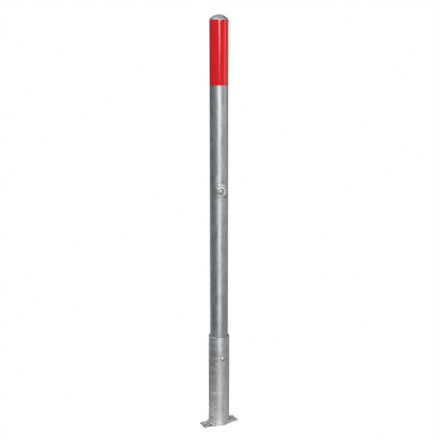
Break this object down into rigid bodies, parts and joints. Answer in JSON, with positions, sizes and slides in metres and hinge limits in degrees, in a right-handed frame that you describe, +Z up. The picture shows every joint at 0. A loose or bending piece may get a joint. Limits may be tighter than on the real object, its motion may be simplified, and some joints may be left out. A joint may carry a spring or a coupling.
{
  "type": "removable barrier post",
  "caption": "Galvanised tube post with a red reflective top and a domed cap, standing in a ground sleeve; a key in its side swings a hook under the sleeve's catch pin.",
  "frame": {"origin": "underside of the foot bar, on the common axis of both tubes", "axes": "+Z up along both tubes, -Y out of the key recess, +X to the right of a person who faces the lock"},
  "size_m": [0.133, 0.0756, 1.3641],
  "materials": {
    "galvanised_tube": "hot-dip galvanised, satin, faintly mottled",
    "galvanised_cap": "hot-dip galvanised pressed sheet, satin",
    "galvanised_sleeve": "hot-dip galvanised, matt, mottled",
    "zinc_weld": "galvanised weld bead",
    "red_film": "glossy reflective film",
    "zinc_plated_lock": "galvanised turned steel",
    "bright_steel": "zinc-plated bright steel",
    "dark_steel": "plain steel, oiled"
  },
  "bodies": {
    "ground_sleeve": {"sleeve_tube": "galvanised_sleeve", "foot_bar": "galvanised_sleeve", "foot_welds": "zinc_weld", "catch_pin": "bright_steel", "catch_pin_welds": "zinc_weld"},
    "post": {"post_tube": "galvanised_tube", "dome_cap": "galvanised_cap", "reflective_film": "red_film", "lock_barrel": "zinc_plated_lock", "lock_barrel_weld": "zinc_weld", "spring_washer": "bright_steel", "upper_guide_cup": "galvanised_tube", "lower_guide_cup": "galvanised_tube", "hook_pivot_pin": "bright_steel", "hook_spacers": "bright_steel"},
    "spindle": {"lock_spindle": "zinc_plated_lock", "crank_disc": "dark_steel", "crank_dowel": "bright_steel", "crank_roller": "bright_steel"},
    "rod": {"yoke_plate": "dark_steel", "lock_rod": "bright_steel", "fork_lock_nut": "bright_steel", "rod_fork": "dark_steel"},
    "hook": {"hook_lever": "dark_steel", "drive_pin": "bright_steel", "drive_pin_clips": "bright_steel"}
  },
  "joints": [
    {"name": "post_lift", "type": "slide", "parent": "ground_sleeve", "child": "post", "axis": [0, 0, 1], "range_m": [0, 0.25]},
    {"name": "key_turn", "type": "hinge", "parent": "post", "child": "spindle", "pos_m": [0, -0.02, 0.811], "axis": [0, 1, 0], "range_deg": [0, 90]},
    {"name": "rod_slide", "type": "slide", "parent": "post", "child": "rod", "axis": [0, 0, -1], "range_m": [0, 0.0099]},
    {"name": "hook_swing", "type": "hinge", "parent": "post", "child": "hook", "pos_m": [-0.01689, -0.00192, 0.2641], "axis": [-0.1132, 0.9936, 0], "range_deg": [0, 33.85]}
  ],
  "couplings": [
    {"joint": "key_turn", "follows": "rod_slide", "rad_per_m": 158.67},
    {"joint": "hook_swing", "follows": "rod_slide", "rad_per_m": 59.688}
  ]
}
